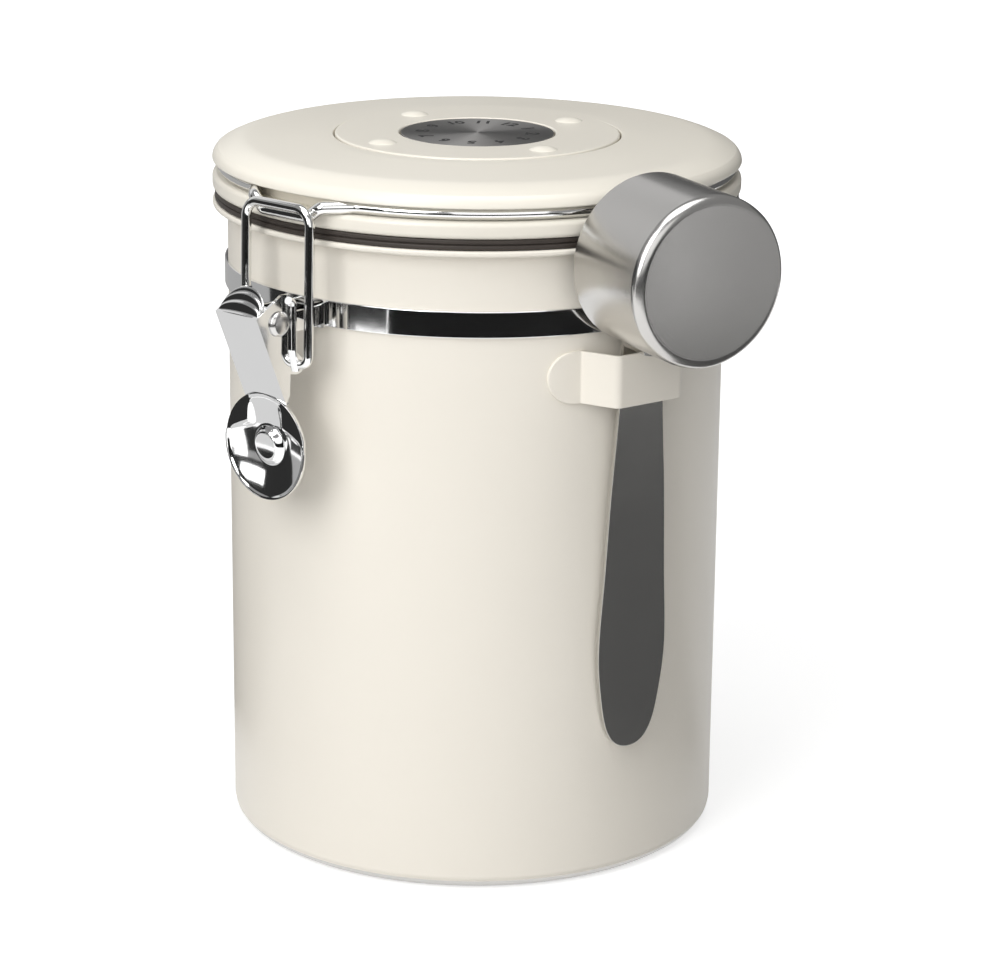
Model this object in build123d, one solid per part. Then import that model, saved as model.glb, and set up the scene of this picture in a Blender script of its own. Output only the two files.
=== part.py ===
from build123d import *
import math
import os

# A drawn steel canister for dry food. It has a hinged lid that a wire clasp pulls down on a silicone
# gasket, a month dial and a one-way valve in the lid, and a scoop that hangs in a holder on the side.
# Millimetres, +Z up. The origin is the centre of the flat bottom. The clasp is at -Y, the hinge at +Y,
# and the scoop holder is turned from the clasp towards +X. Angles are in degrees.

os.makedirs("parts", exist_ok=True)

# canister body
body_radius = 60.0
body_wall = 0.8
bottom_round = 3.5
rim_z = 155.4
lip_width = 3.5
lip_height = 1.4

# neck band
band_thickness = 0.8
band_height = 6.2
band_drop = 20.6

# lid: gasket, base and cover
gasket_height = 2.55
gasket_width = 5.9
gasket_inset = 0.5
flange_height = 3.95
plug_height = 1.2
lid_wall = 1.4
cover_height = 5.6
cover_edge_drop = 2.9
cover_round = 2.2
skirt_height = 3.0

# wire that runs in the lid's groove, with its front tab and its rear loop
wire_radius = 1.45
wire_inset = 2.7
tab_half = 7.0
tab_stand_off = 1.7
tab_drop = 2.55
tab_shoulder_half = 10.5
tab_shoulder_inset = 0.4
tab_arm_reach = 18.3
wire_lead = 2.5
hinge_arm_half = 8.2
hinge_arm_reach = 17.8

# rear hinge
hinge_stand_off = 3.5
hinge_rise = 5.0
knuckle_radius = 3.0
knuckle_half = 5.2
hinge_plate_half = 13.0

# month dial
dial_radius = 34.2
dial_thickness = 2.8
dial_gap = 0.35
dial_step = 2.4
dial_step_height = 0.8
dial_round = 0.5
disc_radius = 18.4
disc_thickness = 0.6
disc_sink = 0.4
nub_count = 4
nub_turn = -11.0
nub_place_radius = 27.6
nub_radius = 3.4
nub_height = 0.9
screw_radius = 1.5
screw_head_radius = 2.9
screw_head_height = 1.6
screw_length = 3.0
screw_slot_width = 0.7

# one-way valve
barrel_radius = 11.9
barrel_wall = 1.0
barrel_height = 6.3
valve_flange_radius = 14.5
valve_flange_height = 1.2
seat_thickness = 1.0
flap_radius = 7.6
flap_thickness = 0.8
flap_lift = 0.6
stem_radius = 1.2
vent_radius = 1.1
vent_count = 6
vent_place_radius = 4.6
cap_thickness = 1.2
cap_wall = 1.6
filter_thickness = 0.8
grille_thickness = 0.8
grille_hole_radius = 0.7
grille_pitch = 2.6
grille_rings = 3
nut_height = 2.2
nut_width = 3.0
nut_notch = 2.0
nut_notch_count = 8

# clasp: sheet lever, its pivot rivet, the wire bail and the bracket that carries them
sheet = 0.8
fold_round = 1.0
pivot_stand_off = 12.66
pivot_drop = 0.2
rivet_radius = 1.5
rivet_head_radius = 2.9
rivet_head_height = 1.25
lever_half_width = 6.6
lever_depth = 11.0
lever_length = 21.6
pad_radius = 12.55
pad_inset = 1.7
pad_drop = 30.2
pad_dish = 1.3
boss_radius = 3.9
boss_height = 0.8
ear_radius = 3.9
ear_thickness = 1.0
plate_thickness = 0.9
plate_height = 6.8
plate_left_reach = 24.0
plate_right_reach = 8.1
bail_radius = 1.1
bail_half_width = 10.2
bail_top_bend = 4.0
bail_foot_bend = 2.2
bail_side_step = 2.8
bail_rise = 2.2
hook_drop = 10.3
hook_inset = 5.8
hook_edge = 1.35

# scoop holder
holder_turn = 77.5
holder_sheet = 0.8
holder_top_drop = 24.5
holder_height = 12.3
holder_stand_off = 8.1
holder_front_half = 9.4
holder_foot_half = 13.4
holder_wing_half = 21.0
holder_bend = 2.0

# scoop
cup_radius = 19.7
cup_depth = 26.2
cup_wall = 0.7
cup_round = 2.4
scoop_sheet = 1.2
scoop_lean = 1.8
scoop_twist = 6.0
tip_gap = 0.8
handle_length = 99.5
handle_half_width = 9.1
weld_half = 5.4
weld_length = 8.5

# clearances shared by several pieces
skin_gap = 0.02
run_gap = 0.05
side_gap = 0.3
seat_gap = 0.4

# side view of the lever, from its pivot: outwards as shares of its depth, upwards of its length
lever_face_shares = [(0.64, 0.10), (-0.20, -0.90)]
lever_crest_shares = (-0.11, 0.30)
lever_back_shares = [(-0.36, 0.29), (-0.37, -0.26)]
lever_foot_shares = [(-0.33, -0.57), (-0.30, -0.80)]
lever_roof_share = 0.5

# where the lid's flat top ends, as a share of the way from the dial's recess to the skirt
cover_flat_share = 0.4435

# edge of the scoop's handle: half widths as shares of the widest, drops as shares of its length
handle_edge_shares = [(0.66, 0.18), (0.81, 0.38), (0.92, 0.59), (1.0, 0.765), (0.86, 0.88)]

# levels and radii that follow from the values above
inner_radius = body_radius - body_wall
lip_radius = body_radius + lip_width
band_bottom_z = rim_z - band_drop
band_inner = body_radius + skin_gap
band_outer = band_inner + band_thickness
band_middle_z = band_bottom_z + band_height / 2
plate_inner = band_outer + skin_gap
plate_outer = plate_inner + plate_thickness
plate_bottom_z = band_middle_z - plate_height / 2

lid_radius = lip_radius
gasket_outer = lid_radius - gasket_inset
gasket_inner = gasket_outer - gasket_width
gasket_bottom_z = rim_z + run_gap
flange_bottom_z = gasket_bottom_z + gasket_height
groove_bottom_z = flange_bottom_z + flange_height
groove_top_z = groove_bottom_z + 2 * (wire_radius + run_gap)
wire_z = (groove_bottom_z + groove_top_z) / 2
wire_ring_radius = lid_radius - wire_inset
groove_radius = wire_ring_radius - wire_radius - run_gap
plug_radius = gasket_inner - 2 * run_gap
plug_bottom_z = flange_bottom_z - plug_height
collar_inner = plug_radius - lid_wall
skirt_outer = collar_inner - 2 * run_gap
skirt_inner = skirt_outer - lid_wall
lid_top_z = groove_top_z + cover_height
dial_floor_z = lid_top_z - dial_thickness
dial_top_z = lid_top_z + side_gap
disc_top_z = dial_top_z - disc_sink
recess_radius = dial_radius + dial_gap
recess_outer = recess_radius + lid_wall
cover_flat_radius = recess_outer + cover_flat_share * (skirt_inner - recess_outer)
hub_radius = disc_radius
hub_foot_radius = hub_radius - dial_step - dial_gap

barrel_bore = barrel_radius - barrel_wall
barrel_bottom_z = plug_bottom_z - valve_flange_height
barrel_top_z = barrel_bottom_z + barrel_height
filter_bottom_z = barrel_bottom_z + grille_thickness
seat_bottom_z = filter_bottom_z + filter_thickness + run_gap
seat_top_z = seat_bottom_z + seat_thickness
flap_bottom_z = seat_top_z + run_gap
flap_top_z = flap_bottom_z + flap_thickness
cap_stop_z = flap_top_z + flap_lift + 2 * run_gap
cap_outer = barrel_bore - run_gap
cap_inner = cap_outer - cap_wall

pivot_out = plate_outer + pivot_stand_off
pivot_z = band_middle_z - pivot_drop
lever_inner_half = lever_half_width - sheet
ear_outer_half = lever_inner_half - side_gap
pad_out = pivot_out - pad_inset
pad_z = pivot_z - pad_drop
hook_out = pivot_out - hook_inset
hook_z = pivot_z - hook_drop
tab_out = lid_radius + tab_stand_off
tab_z = wire_z - tab_drop
bail_out = tab_out + bail_side_step
bail_z = tab_z + bail_rise
hinge_out = lid_radius + hinge_stand_off
hinge_z = band_bottom_z + band_height + hinge_rise

holder_top_z = rim_z - holder_top_drop
holder_bottom_z = holder_top_z - holder_height
holder_front = body_radius + holder_stand_off
cup_drop = cup_radius + skin_gap + scoop_sheet
scoop_z = holder_top_z + seat_gap + cup_drop
handle_reach = cup_radius + handle_length
scoop_out = body_radius + tip_gap + scoop_sheet + handle_reach * math.sin(math.radians(scoop_lean))

side_plane = Plane(origin=(0, 0, 0), x_dir=(0, -1, 0), z_dir=(-1, 0, 0))
rear_plane = Plane(origin=(0, 0, 0), x_dir=(0, 1, 0), z_dir=(1, 0, 0))


def outline(points):
    """A flat face inside a closed row of points."""
    return make_face(Polyline(*points, close=True))


def turned(face):
    """The ring that a face drawn in (radius, height) makes about the upright axis."""
    return revolve(Plane.XZ * face, Axis.Z)


def tube(outer, inner, bottom, height):
    return Pos(0, 0, bottom) * extrude(Circle(outer) - Circle(inner), height)


def disc(radius, bottom, height):
    return Pos(0, 0, bottom) * extrude(Circle(radius), height)


def cross_pin(radius, length):
    """A cylinder that lies along X, centred on the origin."""
    return Rot(0, 90, 0) * Cylinder(radius, length)


def polar(radius, turn):
    """The point at an angle from -Y towards +X."""
    angle = math.radians(turn)
    return (radius * math.sin(angle), -radius * math.cos(angle))


def rim_edges(shape, radius, level=None):
    """The circular edges of one radius, at one level if that is given."""
    found = []
    for edge in shape.edges().filter_by(GeomType.CIRCLE):
        same_level = level is None or abs(edge.arc_center.Z - level) < skin_gap / 2
        if abs(edge.radius - radius) < skin_gap / 2 and same_level:
            found.append(edge)
    return found


def edge_near(shape, point):
    """The edge whose middle is nearest to a point."""
    return min(shape.edges(), key=lambda edge: (edge.center() - Vector(*point)).length)


def canister_body():
    """The drawn cup: a flat bottom, a straight wall and an outward lip that the gasket sits on."""
    shell = turned(outline([
        (0, 0), (body_radius, 0), (body_radius, rim_z - lip_height), (lip_radius, rim_z - lip_height),
        (lip_radius, rim_z), (inner_radius, rim_z), (inner_radius, body_wall), (0, body_wall),
    ]))
    shell = fillet(rim_edges(shell, body_radius, 0), bottom_round)
    shell = fillet(rim_edges(shell, inner_radius, body_wall), bottom_round - body_wall)
    return fillet(rim_edges(shell, lip_radius), lip_height * 0.45)


def neck_band():
    """The rolled strip round the neck, which the clasp and the hinge are fixed to."""
    band = tube(band_outer, band_inner, band_bottom_z, band_height)
    return fillet(rim_edges(band, band_outer), band_thickness * 0.4)


def band_plate(left_reach, right_reach):
    """A plate on the band, from an arc length left of -Y to an arc length right of it."""
    start = -math.degrees(left_reach / plate_outer)
    end = math.degrees(right_reach / plate_outer)
    far = 2 * plate_outer
    wedge = outline([(0, 0), polar(far, start), polar(far, (start + end) / 2), polar(far, end)])
    ring = tube(plate_outer, plate_inner, plate_bottom_z, plate_height)
    plate = ring & (Pos(0, 0, plate_bottom_z) * extrude(wedge, plate_height, dir=(0, 0, 1)))
    ends = plate.edges().filter_by(lambda edge: abs(edge.length - plate_thickness) < skin_gap)
    return fillet(ends, plate_thickness)


def clasp_bracket():
    """The plate on the band with its two ears, which carry the lever's rivet."""
    plate = band_plate(plate_left_reach, plate_right_reach)
    start = plate_inner + skin_gap
    neck_height = plate_height - 2 * sheet - side_gap
    neck = Rectangle(pivot_out - start, neck_height)
    neck = Pos((start + pivot_out) / 2, plate_bottom_z + neck_height / 2) * neck
    profile = side_plane * (Pos(pivot_out, pivot_z) * Circle(ear_radius) + neck)
    blank = extrude(profile, ear_outer_half, both=True)
    slot = Box(2 * (ear_outer_half - ear_thickness), 2 * pivot_out, 2 * plate_height)
    ears = blank - Pos(0, -pivot_out - plate_outer, pivot_z) * slot
    bore = disc(start, plate_bottom_z - plate_height, 3 * plate_height)
    hole = Pos(0, -pivot_out, pivot_z) * cross_pin(rivet_radius + skin_gap, 2 * lever_half_width)
    return plate + (ears - bore) - hole


def clasp_rivet():
    """The pivot rivet, with a domed head on each side of the lever."""
    reach = lever_half_width + run_gap
    head = extrude(Circle(rivet_head_radius), rivet_head_height)
    head = fillet(rim_edges(head, rivet_head_radius, rivet_head_height), rivet_head_height * 0.85)
    rivet = Cylinder(rivet_radius, 2 * reach) + Pos(0, 0, reach) * head
    rivet += Pos(0, 0, -reach) * Rot(180, 0, 0) * head
    return Pos(0, -pivot_out, pivot_z) * Rot(0, 90, 0) * rivet


def lever_point(share):
    return Vector(pivot_out + share[0] * lever_depth, pivot_z + share[1] * lever_length)


def moved_right(start, end, distance):
    """The two ends of a line, moved square to it, to the right of its run."""
    along = (end - start).normalized()
    step = Vector(along.Y, -along.X) * distance
    return start + step, end + step


def crossing(first, second):
    """Where two lines, each given by two points, meet."""
    run, other = first[1] - first[0], second[1] - second[0]
    gap = second[0] - first[0]
    share = (gap.X * other.Y - gap.Y * other.X) / (run.X * other.Y - run.Y * other.X)
    return first[0] + run * share


def lever_blank(top, crest, bottom):
    """The lever's side outline as a solid block, with its folded edges rounded."""
    back = [lever_point(share) for share in lever_back_shares]
    foot = [lever_point(share) for share in lever_foot_shares]
    hook = Vector(hook_out, hook_z)
    hook_radius = bail_radius + hook_edge
    around = [hook - Vector(hook_radius, 0), hook - Vector(0, hook_radius)]
    points = [top, crest, *back, *around, *foot, bottom]
    profile = outline([(p.X, p.Y) for p in points]) + Pos(hook_out, hook_z) * Circle(hook_radius)
    block = extrude(side_plane * profile, lever_half_width, both=True)
    folds = []
    for side in (-1, 1):
        for start, end in ((bottom, top), (top, crest)):
            middle = (start + end) / 2
            folds.append(edge_near(block, (side * lever_half_width, -middle.X, middle.Y)))
    folds.append(edge_near(block, (0, -top.X, top.Y)))
    return fillet(folds, fold_round)


def lever_hollow(top, crest, bottom):
    """The room inside the folded channel: open at the back, below, and above the end of the roof."""
    face = moved_right(top, bottom, sheet)
    roof = moved_right(crest, top, sheet)
    corner = crossing(face, roof)
    roof_end = top + (crest - top) * lever_roof_share
    roof_inside = roof_end + (roof[1] - top)
    above = roof_end + (roof_end - roof_inside) * lever_length
    behind = Vector(-2 * lever_depth, 0)
    below = face[1] + (face[1] - corner).normalized() * lever_length
    points = [corner, roof_inside, above, above + behind, below + behind, below]
    room = outline([(p.X, p.Y) for p in points])
    return extrude(side_plane * room, lever_inner_half, both=True)


def lever_pad():
    """The round thumb pad, seen along its own axis: a dish with a raised boss and a lip."""
    boss_foot = boss_radius + boss_height
    dish_foot = pad_radius - sheet - pad_dish
    lip_inner = pad_radius - sheet
    return turned(outline([
        (0, boss_height), (boss_radius, boss_height), (boss_foot, 0), (dish_foot, 0), (lip_inner, pad_dish),
        (pad_radius, pad_dish), (pad_radius, -sheet), (lip_inner, -sheet), (boss_foot, -sheet),
        (boss_radius, boss_height - sheet), (0, boss_height - sheet),
    ]))


def lever_neck(top_z):
    """The tongue that joins the channel's face to the pad's boss."""
    low = pad_z + boss_radius * 0.6
    narrow = boss_radius * 1.1
    tongue = outline([(-lever_half_width, top_z), (lever_half_width, top_z), (narrow, low), (-narrow, low)])
    return Pos(0, sheet - pad_out, 0) * extrude(Plane.XZ * tongue, sheet + boss_height)


def clasp_lever():
    """The folded sheet lever with its round pad."""
    top, bottom = [lever_point(share) for share in lever_face_shares]
    crest = lever_point(lever_crest_shares)
    channel = lever_blank(top, crest, bottom) - lever_hollow(top, crest, bottom)
    pad = Pos(0, -pad_out, pad_z) * Rot(90, 0, 0) * lever_pad()
    above_tongue = Box(2 * lever_half_width, pad_dish, pad_radius)
    pad -= Pos(0, -pad_out - boss_height - pad_dish / 2, pad_z + pad_radius) * above_tongue
    lever = channel + pad + lever_neck(bottom.Y + sheet)
    lever -= Pos(0, -pivot_out, pivot_z) * cross_pin(rivet_radius + run_gap, 2 * pad_radius)
    return lever - Pos(0, -hook_out, hook_z) * cross_pin(bail_radius + run_gap, 2 * pad_radius)


def wire_along(path, radius):
    """A round wire that follows a path."""
    return sweep(Plane(origin=path @ 0, z_dir=path % 0) * Circle(radius), path=path)


def mirrored_path(half, radii):
    """A bent path from points on the +X side and their mirror images, with one radius for each corner."""
    other = [Vector(-p.X, p.Y, p.Z) for p in reversed(half)]
    return FilletPolyline(*half, *other, radius=radii + radii[::-1])


def clasp_bail():
    """The wire bail: two feet in the lever's flanges, two legs and the bar that hooks over the tab."""
    foot = Vector(lever_inner_half - side_gap, -hook_out, hook_z)
    knee = Vector(bail_half_width, -hook_out, hook_z)
    shoulder = Vector(bail_half_width, -bail_out, bail_z)
    path = mirrored_path([foot, knee, shoulder], [bail_foot_bend, bail_top_bend])
    return wire_along(path, bail_radius)


def ring_leave(reach, side):
    """Where the wire leaves its ring, and the direction in which it runs on towards the middle."""
    share = reach / wire_ring_radius
    along = math.sqrt(1 - share * share)
    start = Vector(reach, side * wire_ring_radius * along, wire_z)
    return start, Vector(-along, side * share, 0)


def front_tab():
    """The tab under the bail: the wire steps out of its groove, bends down and runs across."""
    start, run = ring_leave(tab_arm_reach, -1)
    shoulder = Vector(tab_shoulder_half, tab_shoulder_inset - tab_out, wire_z)
    corner = Vector(tab_half, -tab_out, tab_z)
    path = mirrored_path([start, start + run * wire_lead, shoulder, corner],
                         [4 * wire_radius, 1.4 * wire_radius, 1.4 * wire_radius])
    return wire_along(path, wire_radius)


def rear_loop():
    """The wire steps out behind the neck, drops, and crosses through the hinge's knuckle."""
    start, run = ring_leave(hinge_arm_reach, 1)
    shoulder = Vector(hinge_arm_half, hinge_out, wire_z)
    corner = Vector(hinge_arm_half, hinge_out, hinge_z)
    path = mirrored_path([start, start + run * wire_lead, shoulder, corner],
                         [4 * wire_radius, 2 * wire_radius, 1.6 * wire_radius])
    return wire_along(path, wire_radius)


def lid_wire():
    """The one bent wire in the lid's groove: two arcs, the front tab and the rear hinge loop."""
    front_turn = math.degrees(math.asin(tab_arm_reach / wire_ring_radius))
    rear_turn = math.degrees(math.asin(hinge_arm_reach / wire_ring_radius))
    arc = CenterArc((0, 0, wire_z), wire_ring_radius, front_turn - 90, 180 - front_turn - rear_turn)
    side = wire_along(arc, wire_radius)
    return front_tab() + side + mirror(side, about=Plane.YZ) + rear_loop()


def hinge_bracket():
    """The plate at the back of the band, with a leaf that rises to the knuckle round the lid's wire."""
    plate = Rot(0, 0, 180) * band_plate(hinge_plate_half, hinge_plate_half)
    start = plate_inner + skin_gap
    low = plate_bottom_z + plate_height / 2
    knee = plate_bottom_z + plate_height
    thick = plate_thickness / 2
    leaf = outline([
        (start, low), (plate_outer, low), (plate_outer, knee - thick),
        (hinge_out - thick, hinge_z - knuckle_radius), (hinge_out - knuckle_radius, hinge_z),
        (start, knee),
    ])
    profile = rear_plane * (leaf + Pos(hinge_out, hinge_z) * Circle(knuckle_radius))
    leaf = extrude(profile, knuckle_half, both=True) - disc(start, plate_bottom_z, plate_height)
    bore = Pos(0, hinge_out, hinge_z) * cross_pin(wire_radius + run_gap, 4 * knuckle_half)
    return plate + leaf - bore


def lid_gasket():
    gasket = tube(gasket_outer, gasket_inner, gasket_bottom_z, gasket_height)
    return fillet(rim_edges(gasket, gasket_outer), gasket_height * 0.25)


def lid_base():
    """The lid's lower moulding: a plug inside the gasket, the sealing flange and the groove's collar."""
    base = turned(outline([
        (barrel_radius + run_gap, plug_bottom_z), (plug_radius, plug_bottom_z),
        (plug_radius, flange_bottom_z), (lid_radius, flange_bottom_z), (lid_radius, groove_bottom_z),
        (groove_radius, groove_bottom_z), (groove_radius, groove_top_z), (collar_inner, groove_top_z),
        (collar_inner, flange_bottom_z),
        (barrel_radius + run_gap, flange_bottom_z),
    ]))
    return fillet(rim_edges(base, lid_radius), flange_height * 0.2)


def crown(radius):
    """The level of the lid's gently domed top at a radius."""
    share = max(0, radius - cover_flat_radius) / (lid_radius - cover_flat_radius)
    return lid_top_z - cover_edge_drop * share ** 2


def lid_cover():
    """The lid's upper moulding: a domed top with a sunk floor for the dial, and a skirt in the collar."""
    recess = recess_radius
    hole = screw_radius + run_gap
    flat = cover_flat_radius
    under_top = lid_top_z - lid_wall
    under_floor = dial_floor_z - lid_wall
    skirt_bottom = groove_top_z - skirt_height
    lines = [
        Polyline((hole, under_floor), (hole, dial_floor_z), (recess, dial_floor_z), (recess, lid_top_z),
                 (flat, lid_top_z)),
        TangentArc((flat, lid_top_z), (lid_radius, crown(lid_radius)), tangent=(1, 0)),
        Polyline((lid_radius, crown(lid_radius)), (lid_radius, groove_top_z), (skirt_outer, groove_top_z),
                 (skirt_outer, skirt_bottom), (skirt_inner, skirt_bottom),
                 (skirt_inner, crown(skirt_inner) - lid_wall)),
        TangentArc((flat, under_top), (skirt_inner, crown(skirt_inner) - lid_wall), tangent=(1, 0)),
        Polyline((flat, under_top), (recess_outer, under_top), (recess_outer, under_floor),
                 (hole, under_floor)),
    ]
    cover = turned(make_face(lines))
    cover = fillet(rim_edges(cover, lid_radius, crown(lid_radius)), cover_round)
    cover = fillet(rim_edges(cover, lid_radius, groove_top_z), lid_wall * 0.35)
    middle = (recess + hub_radius) / 2
    vent = Cylinder(vent_radius, 4 * lid_wall)
    for i in range(vent_count):
        cover -= Pos(*polar(middle, 360 * i / vent_count), under_floor) * vent
    return cover


def dial_ring():
    """The turning ring round the month disc, with its step under the hub and four raised nubs."""
    bottom = dial_floor_z + side_gap
    step = hub_radius + dial_gap
    ring = turned(outline([
        (hub_foot_radius + dial_gap, bottom), (dial_radius, bottom), (dial_radius, dial_top_z),
        (step, dial_top_z), (step, bottom + dial_step_height),
        (hub_foot_radius + dial_gap, bottom + dial_step_height),
    ]))
    ring = fillet(rim_edges(ring, dial_radius, dial_top_z) + rim_edges(ring, step, dial_top_z), dial_round)
    dome = (nub_radius ** 2 + nub_height ** 2) / (2 * nub_height)
    for i in range(nub_count):
        turn = nub_turn + 360 * i / nub_count
        x, y = polar(nub_place_radius, turn)
        cap = Pos(x, y, dial_top_z + nub_height - dome) * Sphere(dome)
        ring += cap & (Pos(x, y, dial_top_z - nub_height) * extrude(Circle(nub_radius), 2 * nub_height))
    return ring


def dial_hub():
    """The fixed hub that the ring turns on: a foot, a wider head over the ring's step, and a screw hole."""
    head_bottom = dial_floor_z + side_gap + dial_step_height + side_gap
    head_top = disc_top_z - disc_thickness
    hub = disc(hub_foot_radius, dial_floor_z, head_top - dial_floor_z)
    hub += disc(hub_radius, head_bottom, head_top - head_bottom)
    depth = screw_length - lid_wall + run_gap
    return hub - disc(screw_radius + skin_gap, dial_floor_z, depth)


def month_disc():
    """The thin steel disc on the hub, which carries the months."""
    plate = disc(disc_radius, disc_top_z - disc_thickness, disc_thickness)
    return fillet(rim_edges(plate, disc_radius, disc_top_z), disc_thickness * 0.3)


def dial_screw():
    """The screw that holds the hub from inside the lid."""
    head_top = dial_floor_z - lid_wall
    head = disc(screw_head_radius, head_top - screw_head_height, screw_head_height)
    head = fillet(rim_edges(head, screw_head_radius, head_top - screw_head_height), screw_head_height * 0.4)
    slot = Box(2 * screw_head_radius, screw_slot_width, screw_head_height)
    screw = head + disc(screw_radius, head_top, screw_length)
    return screw - Pos(0, 0, head_top - screw_head_height) * slot


def valve_body():
    """The valve's barrel: a flange under the lid, a bore for grille and filter, and the vented seat."""
    stem_hole = stem_radius + run_gap
    body = turned(outline([
        (barrel_bore, barrel_bottom_z), (valve_flange_radius, barrel_bottom_z),
        (valve_flange_radius, plug_bottom_z), (barrel_radius, plug_bottom_z), (barrel_radius, barrel_top_z),
        (barrel_bore, barrel_top_z), (barrel_bore, seat_top_z), (stem_hole, seat_top_z),
        (stem_hole, seat_bottom_z), (barrel_bore, seat_bottom_z),
    ]))
    body = fillet(rim_edges(body, valve_flange_radius, barrel_bottom_z), valve_flange_height * 0.4)
    return body - vent_holes(vent_radius, vent_place_radius, seat_top_z)


def vent_holes(radius, place_radius, level):
    """A ring of upright holes."""
    holes = []
    for i in range(vent_count):
        place = polar(place_radius, 360 * i / vent_count)
        holes.append(Pos(*place, level) * Cylinder(radius, 4 * seat_thickness))
    return holes


def valve_flap():
    """The soft disc that lifts off the seat to let gas out, with the stem that guides it."""
    flap = disc(flap_radius, flap_bottom_z, flap_thickness)
    flap = fillet(rim_edges(flap, flap_radius, flap_top_z), flap_thickness * 0.3)
    return flap + disc(stem_radius, seat_bottom_z + run_gap, flap_thickness + seat_thickness)


def valve_cap():
    """The cage over the flap: a skirt down to the seat, a vented top and the stop that limits the lift."""
    under = barrel_top_z - cap_thickness
    cap = tube(cap_outer, cap_inner, seat_top_z, barrel_top_z - seat_top_z)
    cap += disc(cap_outer, under, cap_thickness)
    cap -= vent_holes(vent_radius, (cap_inner + stem_radius) / 2, barrel_top_z)
    return cap + disc(stem_radius, cap_stop_z, under - cap_stop_z)


def valve_filter():
    return disc(barrel_bore - run_gap, filter_bottom_z, filter_thickness)


def valve_grille():
    """The perforated disc that keeps the grounds out of the valve."""
    grille = disc(barrel_bore - run_gap, barrel_bottom_z, grille_thickness)
    holes = [Pos(0, 0, barrel_bottom_z) * Cylinder(grille_hole_radius, 4 * grille_thickness)]
    for ring in range(1, grille_rings + 1):
        count = 6 * ring
        for i in range(count):
            place = polar(grille_pitch * ring, 360 * i / count)
            holes.append(Pos(*place, barrel_bottom_z) * Cylinder(grille_hole_radius, 4 * grille_thickness))
    return grille - holes


def valve_nut():
    """The notched ring nut that clamps the valve to the lid's base."""
    inner = barrel_radius + run_gap
    nut = tube(inner + nut_width, inner, flange_bottom_z, nut_height)
    notch = Box(nut_notch, nut_width, 2 * nut_height)
    for i in range(nut_notch_count):
        turn = 360 * i / nut_notch_count
        nut -= Pos(*polar(inner + nut_width, turn), flange_bottom_z + nut_height) * Rot(0, 0, turn) * notch
    return nut


def scoop_holder():
    """A bent strap: two wings on the wall and a raised middle that the handle drops behind."""
    inner = body_radius + skin_gap
    outer = inner + holder_sheet
    foot = math.sqrt(outer ** 2 - holder_foot_half ** 2)
    slope = (holder_foot_half - holder_front_half) / (holder_front - foot)
    deep = holder_stand_off
    deep_half = holder_foot_half + slope * deep
    hat = outline([
        (foot - deep, -deep_half), (holder_front, -holder_front_half),
        (holder_front, holder_front_half), (foot - deep, deep_half),
    ])
    corners = hat.vertices().sort_by(Axis.X)[-2:]
    hat = fillet(corners, holder_bend)
    room = offset(hat, -holder_sheet)
    ring = Circle(outer) - Circle(inner) - hat
    strap = extrude((hat - room - Circle(inner)) + ring, holder_height)
    side = Plane(origin=(0, 0, holder_height / 2), x_dir=(0, 1, 0), z_dir=(1, 0, 0))
    strap &= extrude(side * SlotOverall(2 * holder_wing_half, holder_height), 2 * body_radius)
    return Pos(0, 0, holder_bottom_z) * Rot(0, 0, holder_turn - 90) * strap


def hung(shape):
    """Puts a scoop piece, drawn with its cup's axis along +X and its rim at the origin, in its place."""
    leaning = Rot(0, 0, -scoop_twist) * Rot(0, scoop_lean, 0) * shape
    leaning = Pos(scoop_out, 0, scoop_z) * leaning
    return Rot(0, 0, holder_turn - 90) * leaning


def scoop_cup():
    """The drawn cup of the scoop, on its side with its mouth towards the canister."""
    cup_inner = cup_radius - cup_wall
    cup = turned(outline([
        (cup_radius, 0), (cup_radius, cup_depth), (0, cup_depth), (0, cup_depth - cup_wall),
        (cup_inner, cup_depth - cup_wall), (cup_inner, 0),
    ]))
    cup = fillet(rim_edges(cup, cup_radius, cup_depth), cup_round)
    cup = fillet(rim_edges(cup, cup_inner, cup_depth - cup_wall), cup_round - cup_wall)
    return hung(Rot(0, 90, 0) * cup)


def handle_outline():
    """Half of the handle's outline, from the weld to the tip."""
    top = -cup_radius - skin_gap
    points = []
    for wide, drop in handle_edge_shares:
        points.append((handle_half_width * wide, -cup_radius - handle_length * drop))
    start = (weld_half, top)
    tip = (0, -handle_reach)
    edge = Spline(start, *points, tip, tangents=((0, -1), (-1, 0)))
    return make_face([edge, Line(tip, (0, top)), Line((0, top), start)])


def scoop_handle():
    """The flat handle and the curved tab that is welded under the cup."""
    half = handle_outline()
    flat = half + mirror(half, about=Plane.YZ)
    upright = Plane(origin=(-scoop_sheet, 0, 0), x_dir=(0, 1, 0), z_dir=(1, 0, 0))
    blade = extrude(upright * flat, scoop_sheet, dir=(1, 0, 0))
    inner = cup_radius + skin_gap
    ring = Circle(inner + scoop_sheet) - Circle(inner)
    weld = ring & (Pos(0, -inner) * Rectangle(2 * weld_half, 2 * weld_half))
    tab = extrude(upright * weld, scoop_sheet + weld_length, dir=(1, 0, 0))
    return hung(blade - Rot(0, 90, 0) * Cylinder(inner, 4 * scoop_sheet) + tab)


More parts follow.
